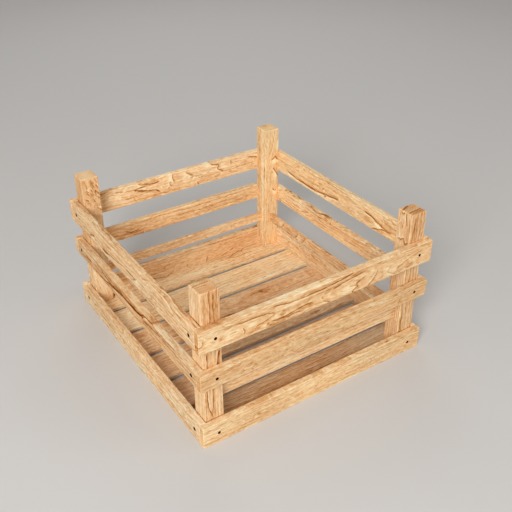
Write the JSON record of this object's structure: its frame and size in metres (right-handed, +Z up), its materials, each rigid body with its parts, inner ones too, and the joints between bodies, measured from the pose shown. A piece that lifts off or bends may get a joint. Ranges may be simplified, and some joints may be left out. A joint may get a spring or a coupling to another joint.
{
  "type": "slatted wooden crate",
  "caption": "Open-topped slatted crate: side slats nailed to square corner posts that stand above the rim, thin inner rails and a gapped board floor housed in the side slats.",
  "frame": {"origin": "centre of the footprint, on the ground under the posts and the bottom slats", "axes": "+Z up, -Y towards the front slats that run the full width, +X to the right seen from the front, +Y along the longer side of the footprint"},
  "size_m": [0.49, 0.516, 0.303],
  "materials": {
    "post_wood": "planed light softwood, unfinished, vertical grain",
    "slat_wood": "planed light softwood, unfinished, grain along the slat",
    "rail_wood": "planed light softwood, unfinished, grain along the rail",
    "floor_wood": "planed light softwood, unfinished, slightly darker and greyer",
    "nail_steel": "dark oxidised wire nail"
  },
  "bodies": {
    "root": {"post_front_left": "post_wood", "post_front_right": "post_wood", "post_back_left": "post_wood", "post_back_right": "post_wood", "slat_front_top": "slat_wood", "slat_front_middle": "slat_wood", "slat_front_bottom": "slat_wood", "slat_back_top": "slat_wood", "slat_back_middle": "slat_wood", "slat_back_bottom": "slat_wood", "slat_left_top": "slat_wood", "slat_left_middle": "slat_wood", "slat_left_bottom": "slat_wood", "slat_right_top": "slat_wood", "slat_right_middle": "slat_wood", "slat_right_bottom": "slat_wood", "rail_front": "rail_wood", "rail_back": "rail_wood", "rail_left": "rail_wood", "rail_right": "rail_wood", "floor_board_1": "floor_wood", "floor_board_2": "floor_wood", "floor_board_3": "floor_wood", "floor_board_4": "floor_wood", "floor_board_5": "floor_wood", "floor_board_6": "floor_wood", "nails_front": "nail_steel", "nails_back": "nail_steel", "nails_left": "nail_steel", "nails_right": "nail_steel"}
  },
  "joints": []
}
